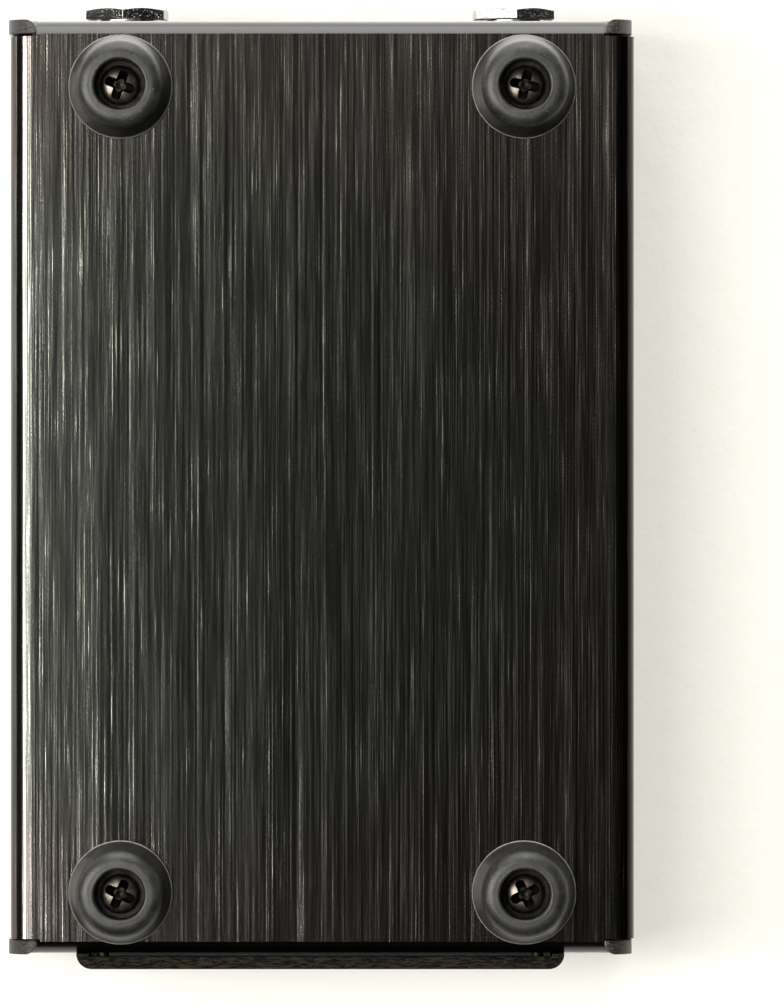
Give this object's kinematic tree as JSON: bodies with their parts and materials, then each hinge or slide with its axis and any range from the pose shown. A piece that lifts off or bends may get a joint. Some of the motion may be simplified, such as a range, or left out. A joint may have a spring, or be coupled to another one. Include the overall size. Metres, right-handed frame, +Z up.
{
  "type": "direct injection box",
  "caption": "Passive direct injection box: black bent-sheet case on rubber feet, two jack sockets at one end, a pin socket and slide switches on a raised plate at the other.",
  "frame": {"origin": "on the surface that the feet stand on, under the middle of the whole object's box", "axes": "+Z up, +Y towards the end with the two jack sockets, +X across the case"},
  "size_m": [0.0948, 0.1464, 0.049],
  "materials": {
    "brushed_sheet": "black sheet, brushed along its length, satin",
    "textured_sheet": "black powder coat with a fine texture",
    "plate_sheet": "black powder coat, sheared edges",
    "rubber": "matt grey-black rubber with dust",
    "black_screw": "black oxide, glossy",
    "plated_steel": "zinc plated",
    "nickel": "bright nickel plate",
    "tinned_brass": "tinned",
    "pin_silver": "silver plate",
    "gasket": "black foam",
    "slider_plastic": "black nylon, grooved",
    "black_plastic": "black moulded nylon",
    "phenolic": "brown phenolic board",
    "board": "green solder mask",
    "core_steel": "stacked laminations",
    "bobbin": "natural nylon",
    "winding": "copper wire beneath tape",
    "resistor": "lacquered",
    "capacitor": "moulded box",
    "wire": "insulated wire"
  },
  "bodies": {
    "case": {"top_shell": "textured_sheet", "bottom_shell": "brushed_sheet", "foot_1": "rubber", "foot_2": "rubber", "foot_3": "rubber", "foot_4": "rubber", "foot_washers": "black_screw", "foot_screws": "black_screw", "clinch_nuts": "plated_steel", "input_bush": "nickel", "input_nut": "nickel", "input_washer": "nickel", "input_insulators": "black_plastic", "input_body": "black_plastic", "input_contacts": "tinned_brass", "thru_bush": "nickel", "thru_nut": "nickel", "thru_washer": "nickel", "thru_insulators": "black_plastic", "thru_body": "black_plastic", "thru_contacts": "tinned_brass", "output_plate": "plate_sheet", "output_gasket": "gasket", "output_plate_screws": "black_screw", "socket_shell": "nickel", "socket_insert": "black_plastic", "socket_pins": "pin_silver", "socket_screws": "black_screw", "pad_frame": "plated_steel", "pad_base": "phenolic", "pad_terminals": "tinned_brass", "ground_frame": "plated_steel", "ground_base": "phenolic", "ground_terminals": "tinned_brass", "polarity_frame": "plated_steel", "polarity_base": "phenolic", "polarity_terminals": "tinned_brass", "switch_screws": "black_screw", "circuit_board": "board", "standoffs": "nickel", "board_screws": "plated_steel", "transformer_core": "core_steel", "transformer_bobbin": "bobbin", "transformer_winding": "winding", "transformer_clamp": "plated_steel", "resistors": "resistor", "resistor_leads": "tinned_brass", "capacitors": "capacitor", "hookup_wires": "wire"},
    "pad_knob": {"pad_slider": "slider_plastic"},
    "ground_knob": {"ground_slider": "slider_plastic"},
    "polarity_knob": {"polarity_slider": "slider_plastic"}
  },
  "joints": [
    {"name": "pad_slide", "type": "slide", "parent": "case", "child": "pad_knob", "axis": [1, 0, 0], "range_m": [0, 0.0032]},
    {"name": "ground_slide", "type": "slide", "parent": "case", "child": "ground_knob", "axis": [1, 0, 0], "range_m": [0, 0.0032]},
    {"name": "polarity_slide", "type": "slide", "parent": "case", "child": "polarity_knob", "axis": [1, 0, 0], "range_m": [0, 0.0032]}
  ]
}
